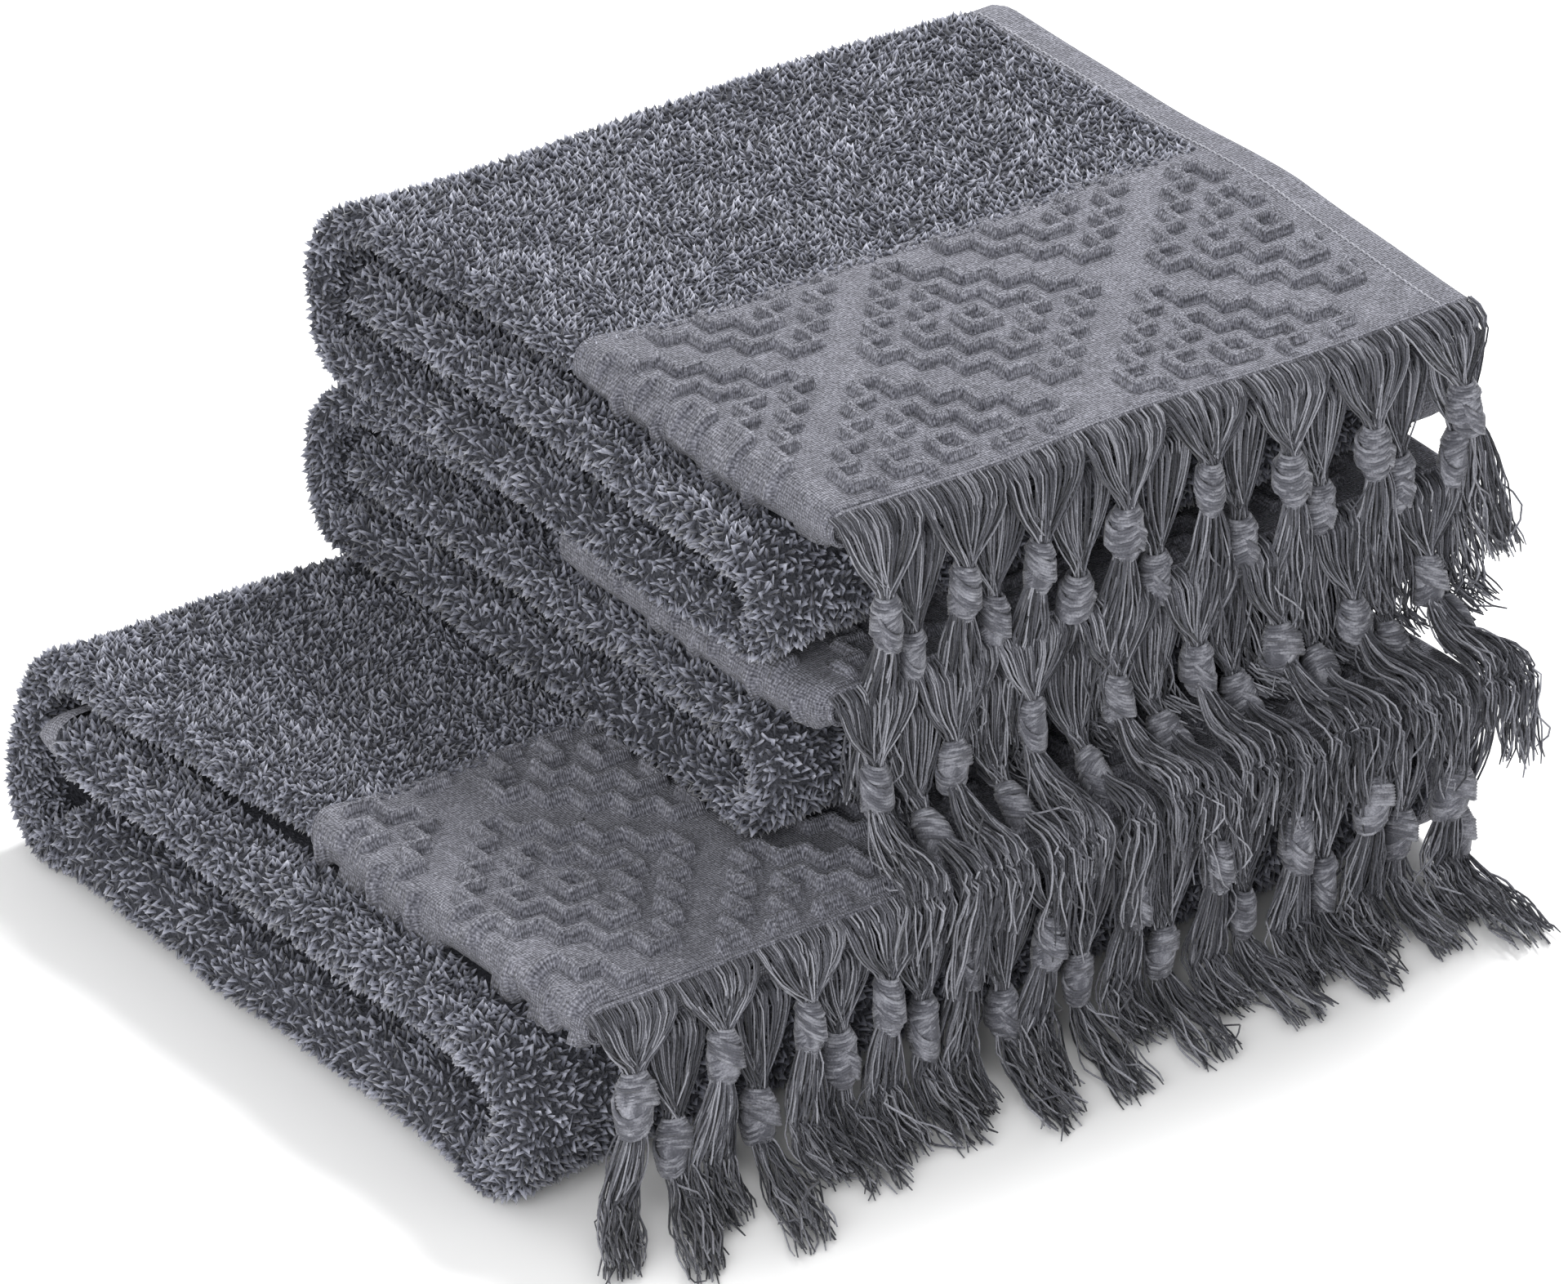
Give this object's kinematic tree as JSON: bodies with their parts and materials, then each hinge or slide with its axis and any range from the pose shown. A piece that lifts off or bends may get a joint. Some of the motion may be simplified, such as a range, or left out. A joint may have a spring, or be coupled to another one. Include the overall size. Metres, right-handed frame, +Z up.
{
  "type": "bath towel set",
  "caption": "Folded stack of fringed cotton terry towels: two hand towels on a larger bath towel, each with a diamond-patterned woven border and knotted tassels.",
  "frame": {"origin": "on the floor under the centre of the folded bath towel", "axes": "+Z up, -Y towards the fringe, -X towards the width folds"},
  "size_m": [0.4, 0.3641, 0.1868],
  "materials": {
    "terry_pile": "looped cotton terry, slate grey",
    "flat_weave": "flat woven cotton with raised dashes, slate grey",
    "fringe_yarn": "twisted cotton warp yarns, slate grey"
  },
  "bodies": {
    "bath_towel": {"bath_towel_fringe_heading": "flat_weave", "bath_towel_lower_fringe": "fringe_yarn", "bath_towel_side_hem_lower": "flat_weave", "bath_towel_side_hem_upper": "flat_weave", "bath_towel_tassel_01": "fringe_yarn", "bath_towel_tassel_02": "fringe_yarn", "bath_towel_tassel_03": "fringe_yarn", "bath_towel_tassel_04": "fringe_yarn", "bath_towel_tassel_05": "fringe_yarn", "bath_towel_tassel_06": "fringe_yarn", "bath_towel_tassel_07": "fringe_yarn", "bath_towel_tassel_08": "fringe_yarn", "bath_towel_tassel_09": "fringe_yarn", "bath_towel_tassel_10": "fringe_yarn", "bath_towel_tassel_11": "fringe_yarn", "bath_towel_terry_cloth": "terry_pile", "bath_towel_tucked_border": "flat_weave", "bath_towel_tucked_fringe": "fringe_yarn", "bath_towel_woven_border": "flat_weave"},
    "middle_towel": {"middle_towel_fringe_heading": "flat_weave", "middle_towel_lower_fringe": "fringe_yarn", "middle_towel_side_hem_lower": "flat_weave", "middle_towel_side_hem_upper": "flat_weave", "middle_towel_tassel_01": "fringe_yarn", "middle_towel_tassel_02": "fringe_yarn", "middle_towel_tassel_03": "fringe_yarn", "middle_towel_tassel_04": "fringe_yarn", "middle_towel_tassel_05": "fringe_yarn", "middle_towel_tassel_06": "fringe_yarn", "middle_towel_tassel_07": "fringe_yarn", "middle_towel_tassel_08": "fringe_yarn", "middle_towel_terry_cloth": "terry_pile", "middle_towel_tucked_border": "flat_weave", "middle_towel_tucked_fringe": "fringe_yarn", "middle_towel_woven_border": "flat_weave"},
    "top_towel": {"top_towel_fringe_heading": "flat_weave", "top_towel_lower_fringe": "fringe_yarn", "top_towel_side_hem_lower": "flat_weave", "top_towel_side_hem_upper": "flat_weave", "top_towel_tassel_01": "fringe_yarn", "top_towel_tassel_02": "fringe_yarn", "top_towel_tassel_03": "fringe_yarn", "top_towel_tassel_04": "fringe_yarn", "top_towel_tassel_05": "fringe_yarn", "top_towel_tassel_06": "fringe_yarn", "top_towel_tassel_07": "fringe_yarn", "top_towel_tassel_08": "fringe_yarn", "top_towel_terry_cloth": "terry_pile", "top_towel_tucked_border": "flat_weave", "top_towel_tucked_fringe": "fringe_yarn", "top_towel_woven_border": "flat_weave"}
  },
  "joints": [
    {"name": "middle_towel_lift", "type": "slide", "parent": "bath_towel", "child": "middle_towel", "axis": [0, 0, 1], "range_m": [0, 0.15]},
    {"name": "top_towel_lift", "type": "slide", "parent": "middle_towel", "child": "top_towel", "axis": [0, 0, 1], "range_m": [0, 0.15]}
  ]
}
